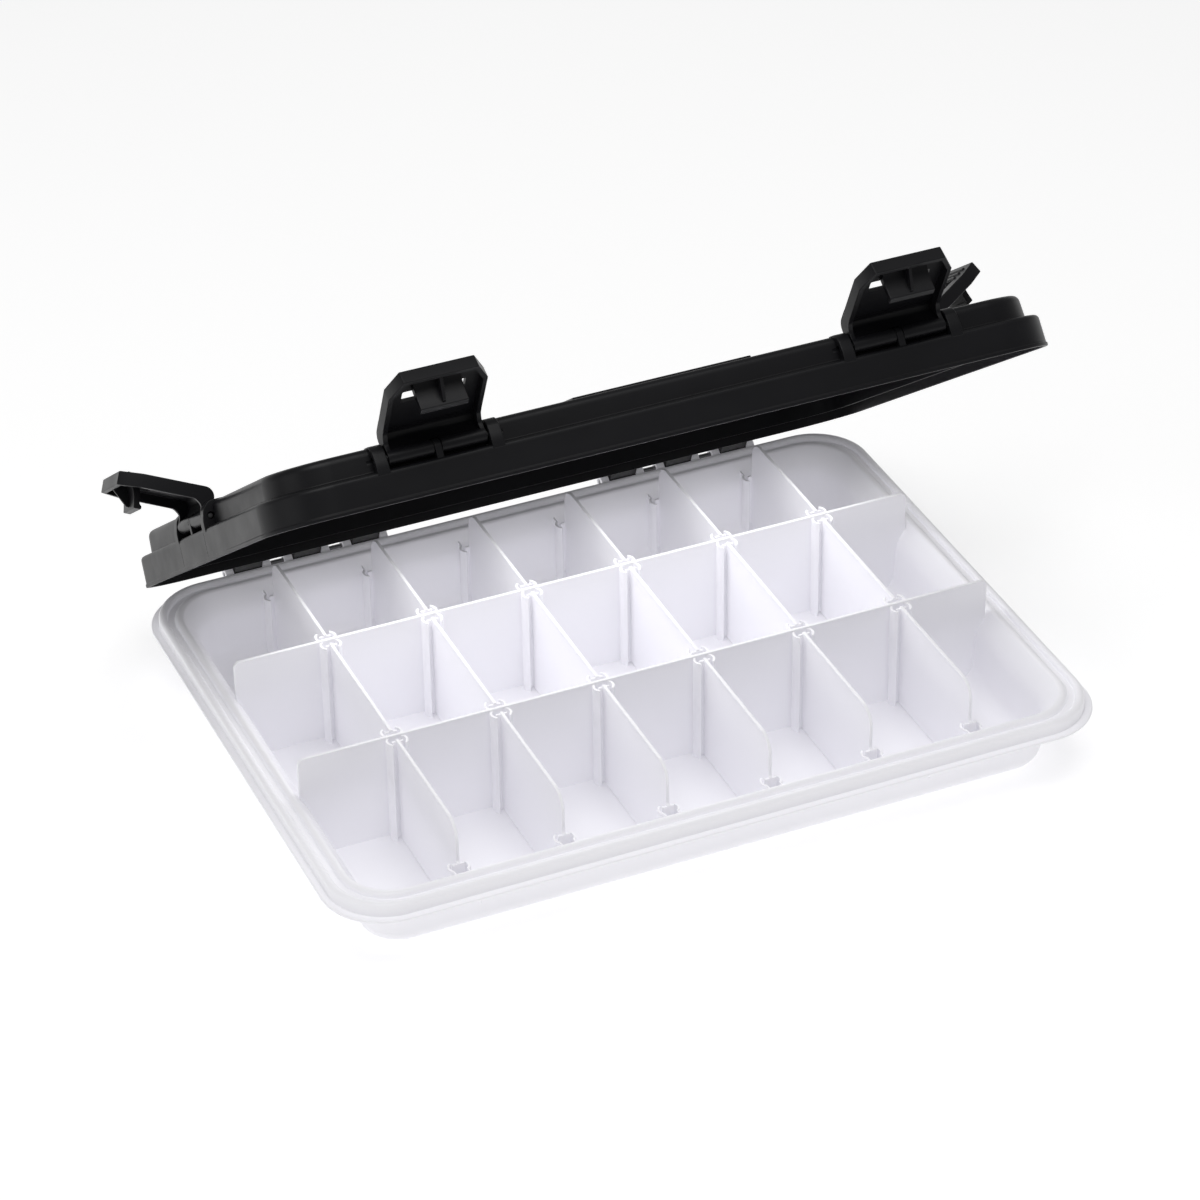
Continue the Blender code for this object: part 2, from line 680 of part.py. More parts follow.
def make_latch_mesh(cutters):
    face = plate(latch_outline(0.0), LATCH_REACH - LATCH_DEPTH, LATCH_REACH, latch_face_frame())
    body = add_object("latch", face, cutters)
    for number, hollow in enumerate(latch_hollows()):
        helper = join_bodies(f"latch_hollow_{number}", [hollow], cutters)
        add_boolean(body, helper, "DIFFERENCE")
    add_boolean(body, join_bodies("latch_additions", latch_additions(), cutters), "UNION")

    frame = latch_side_frame()
    slot = cylinder(LATCH_BARREL_RADIUS + 0.5, -LATCH_LUG_HALF - GAP, LATCH_LUG_HALF + GAP,
                    (0, 0), frame)
    reach = LATCH_HALF_WIDTH + 2.0
    bore = cylinder(LATCH_PIN_RADIUS + GAP, -reach, reach, (0, 0), frame, sides=20)
    add_boolean(body, join_bodies("latch_slot", [slot], cutters), "DIFFERENCE")
    add_boolean(body, join_bodies("latch_bore", [bore], cutters), "DIFFERENCE")
    return to_metres(take_mesh(body))


# ---------------------------------------------------------------- pins

def pin_mesh(radius, length, name):
    """A plain round pin along X, with a small bevel at both ends."""
    half = length / 2
    bevel = 0.3
    bm = bmesh.new()
    profile = [(0.0, -half), (radius - bevel, -half), (radius, -half + bevel),
               (radius, half - bevel), (radius - bevel, half), (0.0, half)]
    verts = [bm.verts.new((along, away, 0.0)) for away, along in profile]
    edges = [bm.edges.new(pair) for pair in zip(verts, verts[1:])]
    bmesh.ops.spin(bm, geom=verts + edges, axis=(1, 0, 0), cent=(0, 0, 0),
                   angle=math.tau, steps=16, use_merge=True)
    bmesh.ops.remove_doubles(bm, verts=bm.verts, dist=MERGE)
    return to_metres(finish_bmesh(bm, name))


# ---------------------------------------------------------------- assembly

def make_empty(name, collection, matrix):
    empty = bpy.data.objects.new(name, None)
    empty.empty_display_size = 0.01
    collection.objects.link(empty)
    empty.matrix_world = matrix
    return empty


def hinge_matrix(opening):
    """The lid's pivot empty: on the hinge axis, turned so that the lid's front rises."""
    place = Matrix.Translation(Vector((0, HINGE_Y, FLANGE_HEIGHT + HINGE_Z)) * MM)
    return place @ Matrix.Rotation(math.radians(-opening), 4, "X")


def latch_matrix(centre, turn, opening):
    """A latch's pivot with the lid shut, turned so that the hook swings outwards."""
    half = FLANGE_WIDTH / 2 if turn % 180 == 0 else FLANGE_LENGTH / 2
    pivot = Vector((0, -half + LATCH_PIVOT_INSET, FLANGE_HEIGHT + LATCH_PIVOT_Z))
    place = Matrix.Translation(Vector(centre) * MM) @ Matrix.Rotation(math.radians(turn), 4, "Z")
    return place @ Matrix.Translation(pivot * MM) @ Matrix.Rotation(math.radians(-opening), 4, "X")


def on_pivot(item, pivot, shut):
    """Hang a piece, made in the box's frame with the lid shut, on the lid's pivot."""
    item.parent = pivot
    item.matrix_parent_inverse = shut.inverted()


def main():
    clear_scene()
    parts = make_collection("fishing_tackle_box")
    cutters = make_collection("cutters")

    tray = make_tray(parts, cutters)
    lid = make_lid(parts, cutters)
    gasket = make_gasket(parts)
    dividers = make_dividers(parts, cutters)
    latch_mesh = make_latch_mesh(cutters)
    bpy.data.collections.remove(cutters)

    shut = hinge_matrix(0.0)
    lid_pivot = make_empty("lid_pivot", parts, hinge_matrix(LID_OPEN))
    for item in (lid, gasket):
        on_pivot(item, lid_pivot, shut)

    hinge_reach = 2 * (HINGE_PITCH + BARREL_HALF + LUG_WIDTH - GAP)
    hinge_pin = pin_mesh(PIN_RADIUS, hinge_reach, "hinge_pin")
    hinge_pins = []
    for side, x in (("left", -HINGE_GROUP_X), ("right", HINGE_GROUP_X)):
        pin = add_object(f"hinge_pin_{side}", hinge_pin, parts)
        pin.location = Vector((x, HINGE_Y, FLANGE_HEIGHT + HINGE_Z)) * MM
        hinge_pins.append(pin)

    pin_length = 2 * (POCKET_HALF + BOSS_WIDTH - PIN_RECESS)
    latch_pin = pin_mesh(LATCH_PIN_RADIUS, pin_length, "latch_pin")
    latches = []
    latch_pins = []
    for name, centre, turn in latch_places():
        pivot = make_empty(f"latch_pivot_{name}", parts,
                           latch_matrix(centre, turn, LATCH_OPEN[name]))
        on_pivot(pivot, lid_pivot, shut)
        latch = add_object(f"latch_{name}", latch_mesh, parts)
        latch.parent = pivot
        latches.append(latch)
        pin = add_object(f"latch_pin_{name}", latch_pin, parts)
        pin.matrix_world = latch_matrix(centre, turn, 0.0)
        on_pivot(pin, lid_pivot, shut)
        latch_pins.append(pin)

    looks = [([tray], WHITE), (dividers, CLEAR_WHITE), ([lid] + latches, BLACK),
             ([gasket], RUBBER), (hinge_pins + latch_pins, STEEL)]
    for items, look in looks:
        for item in items:
            material = make_material(item.name, look)
            if not item.data.materials:
                item.data.materials.append(material)
            item.material_slots[0].link = "OBJECT"
            item.material_slots[0].material = material
    bpy.context.view_layer.update()


main()
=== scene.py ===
"""Looks of the fishing tackle box: fine surfaces, materials, camera and studio light.

Shapes are made in millimetres with the lid shut (X along the long side, -Y towards the
front, Z up), and then scaled to metres and brought to their places at rest. Sections of the
tray and the lid are pairs (inset from the flange's outer edge, height above its underside).
Sections of a latch are pairs (out from the box, down), both from its pivot.
"""

import json
import math

import bmesh
import bpy
from mathutils import Matrix, Vector


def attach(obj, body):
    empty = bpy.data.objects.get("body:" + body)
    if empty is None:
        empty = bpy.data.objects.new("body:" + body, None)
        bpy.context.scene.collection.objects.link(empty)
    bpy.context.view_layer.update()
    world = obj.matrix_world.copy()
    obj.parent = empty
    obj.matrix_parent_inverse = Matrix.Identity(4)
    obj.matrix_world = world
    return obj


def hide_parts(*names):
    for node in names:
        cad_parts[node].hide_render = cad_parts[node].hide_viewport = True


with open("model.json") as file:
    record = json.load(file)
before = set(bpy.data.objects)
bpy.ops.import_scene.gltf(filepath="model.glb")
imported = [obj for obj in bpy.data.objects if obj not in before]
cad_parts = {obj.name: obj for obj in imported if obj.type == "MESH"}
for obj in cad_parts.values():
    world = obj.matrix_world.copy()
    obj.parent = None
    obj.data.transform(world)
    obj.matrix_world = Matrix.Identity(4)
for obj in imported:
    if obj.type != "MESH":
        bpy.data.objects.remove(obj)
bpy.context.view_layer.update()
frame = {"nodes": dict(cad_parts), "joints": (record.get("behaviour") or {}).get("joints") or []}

MM = 0.001
CORNER_STEPS = 18

# Sizes of the box in millimetres and angles in degrees. Heights are from the flange's
# underside, except FLANGE_HEIGHT, which is the underside's own height above the table.
# RADIUS_LOSS is what a corner's radius loses for each millimetre of inset.
GAP = 0.3

FLANGE_LENGTH = 355.0
FLANGE_WIDTH = 264.0
FLANGE_RADIUS = 28.0
RADIUS_LOSS = 0.6
FLANGE_HEIGHT = 29.5
DIVIDER_PITCH = 47.5
COLUMNS = 6
LONG_WALL_Y = 39.2
LONG_WALL_THICKNESS = 1.6
LONG_WALL_INSET = 15.0
DIVIDER_TOP = 23.2
DIVIDER_THICKNESS = 1.5
DIVIDER_END_INSET = 22.3
DIVIDER_CORNER = 8.0
FLOOR_TOP = -27.7
HEAD_HALF_WIDTH = 2.7
HEAD_THICKNESS = 1.2
HEAD_SETBACK = 3.2
GUIDE_CENTRE = (0.9, 3.3)
GUIDE_RADIUS = 3.5
GUIDE_THICKNESS = 1.1
GUIDE_TIP_ANGLE = 58
WALL_GUIDE_ROOT_ANGLE = -62
EDGE_GUIDE_ROOT_ANGLE = -52
EDGE_GUIDE_TOP = 2.6

HINGE_Y = 139.0
HINGE_Z = 0.0
HINGE_GROUP_X = 93.0
HINGE_PITCH = 28.5
BARREL_HALF = 7.0
BARREL_RADIUS = 2.9
LUG_WIDTH = 3.9
LUG_RADIUS = 3.4
PIN_RADIUS = 1.25

LATCH_X = 103.2
END_LATCH_Y = 9.0
LATCH_PIVOT_INSET = 5.6
LATCH_PIVOT_Z = 20.0
LATCH_HALF_WIDTH = 21.2
LATCH_END_HALF = 16.0
LATCH_LENGTH = 39.3
LATCH_TAPER_START = 29.9
LATCH_REACH = 12.5
LATCH_DEPTH = 5.9
LATCH_WALL = 2.0
LATCH_FACE = 1.8
LATCH_LUG_HALF = 1.5
HOOK_HALF = 10.2
POCKET_HALF = 22.0
LATCH_BARREL_RADIUS = 3.2
LATCH_PIN_RADIUS = 1.3
BOSS_WIDTH = 5.4
CATCH_HALF = 13.0
PANEL_HALF_LENGTH = 40.0
PANEL_INSET = 11.5
GRIP_ROWS = (28.6, 31.6, 34.6)
GRIP_HALF = 14.0

UPRIGHT = Matrix.Translation((0, 0, FLANGE_HEIGHT))


# ---------------------------------------------------------------- modelling helpers

def shade(mesh, angle=32.0):
    """Smooth shading, with sharp edges where faces meet at more than the angle in degrees."""
    mesh.shade_smooth()
    mesh.set_sharp_from_angle(angle=math.radians(angle))


def finish_bmesh(bm, name):
    bmesh.ops.recalc_face_normals(bm, faces=bm.faces)
    mesh = bpy.data.meshes.new(name)
    bm.to_mesh(mesh)
    bm.free()
    return mesh


def arc(centre, radius, start, end, steps):
    """Points on a circle from one angle to another, in degrees."""
    turns = [math.radians(start + (end - start) * i / steps) for i in range(steps + 1)]
    return [(centre[0] + radius * math.cos(t), centre[1] + radius * math.sin(t)) for t in turns]


def soften(points, steps=4, closed=True):
    """Round the corners (x, y, reach) of an outline; reach is the length taken off each side."""
    rounded = []
    last = len(points) - 1
    for i, (x, y, reach) in enumerate(points):
        corner = Vector((x, y))
        if reach == 0 or (not closed and i in (0, last)):
            rounded.append((x, y))
            continue
        before = Vector(points[i - 1][:2]) - corner
        after = Vector(points[(i + 1) % len(points)][:2]) - corner
        cut = min(reach, 0.49 * before.length, 0.49 * after.length)
        start = corner + before.normalized() * cut
        end = corner + after.normalized() * cut
        for step in range(steps + 1):
            t = step / steps
            point = start * (1 - t) ** 2 + corner * 2 * t * (1 - t) + end * t ** 2
            rounded.append((point.x, point.y))
    return rounded


def plate(outline, low, high, to_frame, bevel=0.3, segments=2):
    """An outline in (u, v), extruded along w, with softened edges, turned into the frame."""
    bm = bmesh.new()
    face = bm.faces.new([bm.verts.new((u, v, low)) for u, v in outline])
    grown = bmesh.ops.extrude_face_region(bm, geom=[face])
    top = [part for part in grown["geom"] if isinstance(part, bmesh.types.BMVert)]
    bmesh.ops.translate(bm, vec=(0, 0, high - low), verts=top)
    bmesh.ops.recalc_face_normals(bm, faces=bm.faces)
    if bevel:
        sharp = [edge for edge in bm.edges if edge.calc_face_angle(0.0) > math.radians(30)]
        bmesh.ops.bevel(bm, geom=sharp, offset=bevel, segments=segments, profile=0.5,
                        affect="EDGES", clamp_overlap=True)
    bmesh.ops.transform(bm, matrix=to_frame, verts=bm.verts)
    return finish_bmesh(bm, "plate")


def cylinder(radius, low, high, centre, to_frame, bevel=0.0, sides=48):
    """A cylinder along w from low to high, round the point (u, v), with bevelled ends."""
    outline = [(centre[0] + radius * math.cos(math.tau * i / sides),
                centre[1] + radius * math.sin(math.tau * i / sides)) for i in range(sides)]
    return plate(outline, low, high, to_frame, bevel)


def frame_matrix(u, v, w, origin=(0, 0, 0)):
    """The matrix whose axes are u, v and w."""
    matrix = Matrix((u, v, w)).transposed().to_4x4()
    matrix.translation = Vector(origin)
    return matrix


def section_frame(centre, turn):
    """Sections (inset, height, along the edge) to the box, for an edge facing -Y turned about Z."""
    half = FLANGE_WIDTH / 2 if turn % 180 == 0 else FLANGE_LENGTH / 2
    frame_there = frame_matrix(Vector((0, 1, 0)), Vector((0, 0, 1)), Vector((1, 0, 0)),
                               (0, -half, FLANGE_HEIGHT))
    return Matrix.Translation(centre) @ Matrix.Rotation(math.radians(turn), 4, "Z") @ frame_there


def side_frame():
    """Sections (y, height) of the box from its side, extruded along X."""
    return frame_matrix(Vector((0, 1, 0)), Vector((0, 0, 1)), Vector((1, 0, 0)),
                        (0, 0, FLANGE_HEIGHT))


def rim_ring(inset, height):
    """A rounded rectangle that runs round the box at an inset and a height."""
    half_x = FLANGE_LENGTH / 2 - inset
    half_y = FLANGE_WIDTH / 2 - inset
    radius = max(FLANGE_RADIUS - RADIUS_LOSS * inset, 4.0)
    points = []
    for sign_x, sign_y, start in ((1, -1, -90), (1, 1, 0), (-1, 1, 90), (-1, -1, 180)):
        centre = (sign_x * (half_x - radius), sign_y * (half_y - radius))
        points += arc(centre, radius, start, start + 90, CORNER_STEPS)
    return [(x, y, FLANGE_HEIGHT + height) for x, y in points]


def loft(section, closed=False):
    """Rounded rectangles, one for each (inset, height), joined into a body or an endless ring."""
    bm = bmesh.new()
    rings = [[bm.verts.new(p) for p in rim_ring(*step)] for step in section]
    pairs = list(zip(rings, rings[1:]))
    if closed:
        pairs.append((rings[-1], rings[0]))
    for lower, upper in pairs:
        for i in range(len(lower)):
            j = (i + 1) % len(lower)
            bm.faces.new((lower[i], lower[j], upper[j], upper[i]))
    if not closed:
        bm.faces.new(list(reversed(rings[0])))
        bm.faces.new(rings[-1])
    return finish_bmesh(bm, "loft")


def joined(meshes):
    """Several closed meshes in one, for one Boolean."""
    bm = bmesh.new()
    for mesh in meshes:
        bm.from_mesh(mesh)
        bpy.data.meshes.remove(mesh)
    whole = bpy.data.meshes.new("joined")
    bm.to_mesh(whole)
    bm.free()
    return whole


def combine(mesh, steps):
    """Apply Booleans (operation, [meshes]) to a mesh, one after the other."""
    item = bpy.data.objects.new("work", mesh)
    bpy.context.scene.collection.objects.link(item)
    helpers = []
    for operation, bodies in steps:
        helper = bpy.data.objects.new("helper", joined(bodies))
        bpy.context.scene.collection.objects.link(helper)
        modifier = item.modifiers.new(operation, "BOOLEAN")
        modifier.operation = operation
        modifier.solver = "EXACT"
        modifier.use_self = operation == "UNION"
        modifier.object = helper
        helpers.append(helper)
    graph = bpy.context.evaluated_depsgraph_get()
    graph.update()
    result = bpy.data.meshes.new_from_object(item.evaluated_get(graph))
    for spare in helpers + [item]:
        data = spare.data
        bpy.data.objects.remove(spare)
        bpy.data.meshes.remove(data)
    return result


def add_piece(name, mesh, material, body, nodes, matrix=None):
    """A finished piece at its place, riding on its body and standing for CAD nodes."""
    if matrix:
        mesh.transform(matrix)
    mesh.materials.clear()
    mesh.materials.append(material)
    shade(mesh)
    item = bpy.data.objects.new(name, mesh)
    bpy.context.scene.collection.objects.link(item)
    weighted = item.modifiers.new("weighted normals", "WEIGHTED_NORMAL")
    weighted.keep_sharp = True
    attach(item, body)
    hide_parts(*nodes)
    return item


# ---------------------------------------------------------------- tray

TRAY_MID_SECTION = [(15.0, 2.0), (18.3, -4.0), (19.8, -21.5), (22.2, -26.3), (25.5, -28.4)]


def tray_section():
    """The tray's section, from under the floor, out over the rim and back down to the floor."""
    outside = arc((27.7, -20.5), 9.0, 270, 180, 12)
    under = soften([(18.7, -20.5, 0), (17.4, -4.5, 1.2), (16.2, -2.1, 1.0), (13.6, 3.0, 1.0),
                    (4.6, 3.0, 0.4), (4.6, 0.0, 0.3), (0.0, 0.0, 0.5), (0.0, 1.2, 0.5),
                    (3.1, 1.2, 0.4), (3.15, 5.2, 0)], closed=False)
    outer_ridge = arc((4.95, 5.2), 1.8, 180, 0, 14)
    groove = [(6.8, 4.75), (7.0, 4.6), (9.3, 4.6), (9.6, 4.8)]
    inner_ridge = arc((11.7, 4.8), 2.1, 172, 36, 12)
    shoulder = soften([(13.4, 6.0, 0), (15.6, 3.0, 1.6), (18.3, -1.6, 2.4), (19.4, -5.5, 2.0),
                       (20.4, -19.7, 0)], closed=False)
    inside = arc((28.4, -19.7), 8.0, 180, 270, 12)
    return outside[:-1] + under + outer_ridge[1:] + groove + inner_ridge + shoulder[1:-1] + inside


def column_positions():
    return [(i - (COLUMNS - 1) / 2) * DIVIDER_PITCH for i in range(COLUMNS)]


def long_walls():
    """Two fixed walls along the tray, their ends let into the tray's end walls."""
    half = FLANGE_LENGTH / 2
    right = [(half - e, z) for e, z in reversed(TRAY_MID_SECTION)]
    top_right = arc((half - LONG_WALL_INSET - 3, DIVIDER_TOP - 3), 3.0, 0, 90, 8)
    half_outline = right + top_right
    outline = half_outline + [(-x, z) for x, z in reversed(half_outline)]
    upright = frame_matrix(Vector((1, 0, 0)), Vector((0, 0, 1)), Vector((0, -1, 0)),
                           (0, 0, FLANGE_HEIGHT))
    thin = LONG_WALL_THICKNESS / 2
    return [plate(outline, -y - thin, -y + thin, upright, 0.35, 3)
            for y in (-LONG_WALL_Y, LONG_WALL_Y)]


def guide_outline(side, start, stem):
    """A guide's plan (across, away from its wall): an arc that closes round a divider's head."""
    half = GUIDE_THICKNESS / 2
    outer = arc(GUIDE_CENTRE, GUIDE_RADIUS + half, start, GUIDE_TIP_ANGLE, 9)
    inner = arc(GUIDE_CENTRE, GUIDE_RADIUS - half, GUIDE_TIP_ANGLE, start, 9)
    return [(side * across, away) for across, away in stem + outer + inner]


def plan_frame(x, y, turn):
    """Plans (across, away) at a place in the box; heights are from the flange's underside."""
    return Matrix.Translation((x, y, FLANGE_HEIGHT)) @ Matrix.Rotation(math.radians(turn), 4, "Z")


def wall_guides():
    """Pairs of curved guides on both faces of the long walls."""
    bodies = []
    for x in column_positions():
        for wall_y in (-LONG_WALL_Y, LONG_WALL_Y):
            for turn in (0, 180):
                for side in (-1, 1):
                    outline = guide_outline(side, WALL_GUIDE_ROOT_ANGLE, [])
                    bodies.append(plate(outline, FLOOR_TOP - 0.9, DIVIDER_TOP - 0.6,
                                        plan_frame(x, wall_y, turn), 0.25))
    return bodies


def edge_guides():
    """Curved guides on the front and back walls, cut off inside the thickness of the wall."""
    stem = [(2.5, -7.0), (3.6, -7.0)]
    guide_y = FLANGE_WIDTH / 2 - DIVIDER_END_INSET + HEAD_SETBACK
    bodies = []
    for x in column_positions():
        for y, turn in ((-guide_y, 0), (guide_y, 180)):
            for side in (-1, 1):
                outline = guide_outline(side, EDGE_GUIDE_ROOT_ANGLE, stem)
                bodies.append(plate(outline, FLOOR_TOP - 2.0, EDGE_GUIDE_TOP,
                                    plan_frame(x, y, turn), 0.25))
    core = loft(list(reversed(TRAY_MID_SECTION)) + [(14.4, EDGE_GUIDE_TOP + 1.0)])
    return combine(joined(bodies), [("INTERSECT", [core])])


def latch_places():
    """Each latch's name, its shift along its edge and the turn of that edge about Z."""
    return [("front_left", (-LATCH_X, 0, 0), 0), ("front_right", (LATCH_X, 0, 0), 0),
            ("left", (0, END_LATCH_Y, 0), -90), ("right", (0, END_LATCH_Y, 0), 90)]


def latch_catches():
    """Blocks under the rim that the latches' hooks pull on."""
    outline = [(4.9, -5.6), (7.4, -5.6), (7.4, 3.6), (4.9, 3.6)]
    return [plate(outline, -CATCH_HALF, CATCH_HALF, section_frame(centre, turn), 0.3)
            for _, centre, turn in latch_places()]


def barrel_positions():
    """Centres of the lid's hinge barrels along the hinge axis."""
    return [side * HINGE_GROUP_X + k * HINGE_PITCH for side in (-1, 1) for k in (-1, 0, 1)]


def hinge_lugs():
    """Lugs on both sides of each barrel, and a bridge between neighbouring pairs."""
    edge = FLANGE_WIDTH / 2
    lug = [(edge - 5.0, -0.2), (edge - 2.0, -2.6), (edge + 2.0, -3.4)]
    lug += arc((HINGE_Y, HINGE_Z), LUG_RADIUS, -90, 150, 16)
    lug += [(edge + 1.4, 1.1), (edge - 1.0, 0.8), (edge - 5.0, 0.8)]
    bridge = [(edge - 2.0, 0.3), (edge - 2.0, -2.0), (edge + 4.4, -2.0), (edge + 4.4, 0.7),
              (edge - 0.6, 0.7)]
    bodies = []
    for x in barrel_positions():
        for side in (-1, 1):
            ends = sorted((x + side * BARREL_HALF, x + side * (BARREL_HALF + LUG_WIDTH)))
            bodies.append(plate(lug, ends[0], ends[1], side_frame(), 0.4, 3))
    for group in (-HINGE_GROUP_X, HINGE_GROUP_X):
        for side in (-1, 1):
            middle = group + side * HINGE_PITCH / 2
            half = HINGE_PITCH / 2 - BARREL_HALF - 1.0
            bodies.append(plate(bridge, middle - half, middle + half, side_frame(), 0.3))
    return bodies


def hinge_bores():
    """The hinge pins' bores, through lugs and barrels."""
    reach = HINGE_PITCH + BARREL_HALF + LUG_WIDTH + 2.0
    return [cylinder(PIN_RADIUS + GAP, x - reach, x + reach, (HINGE_Y, HINGE_Z), side_frame(),
                     sides=24)
            for x in (-HINGE_GROUP_X, HINGE_GROUP_X)]


def tray_mesh():
    additions = long_walls() + wall_guides() + [edge_guides()]
    fittings = latch_catches() + hinge_lugs()
    return combine(loft(tray_section()), [("UNION", additions), ("UNION", fittings),
                                          ("DIFFERENCE", hinge_bores())])


# ---------------------------------------------------------------- dividers

def divider_mesh(row):
    """One divider with its heads, at X = 0 and at its place in Y."""
    bottom = FLOOR_TOP + GAP
    half = DIVIDER_THICKNESS / 2
    upright = frame_matrix(Vector((0, 1, 0)), Vector((0, 0, 1)), Vector((1, 0, 0)))
    if row == "middle":
        near, far = HEAD_SETBACK - LONG_WALL_Y, LONG_WALL_Y - HEAD_SETBACK
        outline = [(near, bottom), (far, bottom), (far, DIVIDER_TOP), (near, DIVIDER_TOP)]
        outer_low, outer_high = bottom, DIVIDER_TOP - 0.8
    else:
        near, far = LONG_WALL_Y + HEAD_SETBACK, FLANGE_WIDTH / 2 - DIVIDER_END_INSET
        edge = far - 1.0
        corner = arc((edge - DIVIDER_CORNER, DIVIDER_TOP - DIVIDER_CORNER), DIVIDER_CORNER,
                     0, 90, 14)
        foot = soften([(near, bottom, 0), (far - 4.6, bottom, 1.2), (far, bottom + 4.9, 2.0),
                       (far, 3.9, 0.5), (edge, 4.6, 0.4), (edge, 12.0, 0)], 4, closed=False)
        outline = foot[:-1] + corner + [(near, DIVIDER_TOP)]
        outer_low, outer_high = bottom + 5.2, 3.6
    wide = HEAD_HALF_WIDTH
    body = plate(outline, -half, half, upright, 0.3, 3)
    head = [(-wide, near), (wide, near), (wide, near + HEAD_THICKNESS),
            (-wide, near + HEAD_THICKNESS)]
    inner = plate(head, bottom, DIVIDER_TOP - 0.8, Matrix.Identity(4), 0.3)
    tail = [(-wide, far - HEAD_THICKNESS), (wide, far - HEAD_THICKNESS), (wide, far),
            (-wide, far)]
    outer = plate(tail, outer_low, outer_high, Matrix.Identity(4), 0.3)
    mesh = combine(body, [("UNION", [inner, outer])])
    side = -1 if row == "front" else 1
    mesh.transform(Matrix.Diagonal((side, side, 1, 1)))
    return mesh


# ---------------------------------------------------------------- lid

def lid_section():
    """The lid's section, from the top down over dome, ledge and skirt and back inside."""
    dome = [(14.0, 25.9, 0), (7.3, 25.75, 3.2), (6.6, 15.7, 0.6)]
    skirt = [(1.75, 15.4, 2.0), (1.3, 3.3, 0.4), (0.9, 2.9, 0.3), (0.9, 1.5, 0.5),
             (2.7, 1.5, 0.4)]
    channel = [(3.1, 11.6, 0.4), (7.4, 11.6, 0.3), (7.5, 5.4, 0.3), (8.9, 5.4, 0.3)]
    ceiling = [(9.1, 24.1, 2.2), (11.5, 24.1, 0)]
    return soften(dome + skirt + channel + ceiling, 6, closed=False)


def top_panel():
    """The slightly raised middle of the lid's top, from front to back."""
    half_x, half_y = PANEL_HALF_LENGTH, FLANGE_WIDTH / 2 - PANEL_INSET
    outline = [(-half_x, -half_y), (half_x, -half_y), (half_x, half_y), (-half_x, half_y)]
    return [plate(outline, 25.2, 26.6, UPRIGHT, 0.4, 3)]


def latch_brackets():
    """Two bosses and the pocket's inner wall for each latch."""
    boss = soften([(1.5, 13.5, 0), (1.5, 18.0, 2.0), (3.2, 24.0, 2.4), (6.2, 26.3, 2.0),
                   (12.5, 26.3, 0), (12.5, 25.0, 0), (8.2, 24.0, 0), (8.0, 13.5, 0)], 5)
    pocket_wall = [(8.4, 14.0), (13.2, 14.0), (13.2, 24.9), (8.4, 24.9)]
    bodies = []
    for _, centre, turn in latch_places():
        there = section_frame(centre, turn)
        for side in (-1, 1):
            edges = sorted((side * POCKET_HALF, side * (POCKET_HALF + BOSS_WIDTH)))
            bodies.append(plate(boss, edges[0], edges[1], there, 0.4, 3))
        bodies.append(plate(pocket_wall, -POCKET_HALF - 2.0, POCKET_HALF + 2.0, there, 0.0))
    return bodies


def latch_pockets():
    """The space between a latch's bosses, cut out of the dome's edge."""
    outline = soften([(-2.0, 16.2, 0), (11.2, 16.2, 0.8), (11.2, 32.0, 0), (-2.0, 32.0, 0)], 3)
    return [plate(outline, -POCKET_HALF, POCKET_HALF, section_frame(centre, turn), 0.0)
            for _, centre, turn in latch_places()]


def latch_middle_lugs():
    """The lug between the two halves of a latch's barrel."""
    round_top = arc((LATCH_PIVOT_INSET, LATCH_PIVOT_Z), LATCH_BARREL_RADIUS, 180, 0, 16)
    outline = round_top + [(8.8, 17.6), (11.9, 17.0), (11.9, 15.0), (2.4, 15.0)]
    return [plate(outline, -LATCH_LUG_HALF, LATCH_LUG_HALF, section_frame(centre, turn), 0.25)
            for _, centre, turn in latch_places()]


def latch_bores():
    reach = POCKET_HALF + BOSS_WIDTH + 2.0
    return [cylinder(LATCH_PIN_RADIUS + GAP, -reach, reach, (LATCH_PIVOT_INSET, LATCH_PIVOT_Z),
                     section_frame(centre, turn), sides=24)
            for _, centre, turn in latch_places()]


def skirt_lines():
    """Fine vertical grooves down the skirt, in line with the sides of each end's latch."""
    outline = [(0.0, 3.6), (1.75, 3.6), (1.9, 15.6), (0.0, 15.6)]
    lines = []
    for _, centre, turn in latch_places()[2:]:
        for along in (-POCKET_HALF - 0.15, POCKET_HALF + 0.15):
            lines.append(plate(outline, along - 0.15, along + 0.15, section_frame(centre, turn),
                               0.0))
    return lines


def lid_barrels():
    """Hinge barrels with webs that carry them on the lid's back skirt."""
    edge = FLANGE_WIDTH / 2
    web = [(edge - 1.5, 2.2), (edge + 0.6, 1.6), (edge + 4.4, -0.6), (HINGE_Y, HINGE_Z),
           (HINGE_Y + 1.6, HINGE_Z + 2.3), (HINGE_Y - 0.6, 3.4), (edge + 1.6, 8.4),
           (edge - 1.5, 9.2)]
    half = BARREL_HALF - GAP
    bodies = []
    for x in barrel_positions():
        bodies.append(plate(web, x - half + 0.05, x + half - 0.05, side_frame(), 0.3))
        bodies.append(cylinder(BARREL_RADIUS, x - half, x + half, (HINGE_Y, HINGE_Z),
                               side_frame(), 0.3))
    return bodies


def lid_mesh():
    return combine(loft(lid_section()),
                   [("UNION", top_panel() + latch_brackets() + lid_barrels()),
                    ("DIFFERENCE", latch_pockets()), ("UNION", latch_middle_lugs()),
                    ("DIFFERENCE", latch_bores() + hinge_bores() + skirt_lines())])


def gasket_mesh():
    """The rubber ring in the lid's channel."""
    section = soften([(3.5, 8.1, 0.5), (4.3, 7.3, 0.5), (6.3, 7.3, 0.5), (7.1, 8.1, 0.5),
                      (7.1, 11.3, 0.2), (3.5, 11.3, 0.2)], 3)
    return loft(section, closed=True)


# ---------------------------------------------------------------- latches

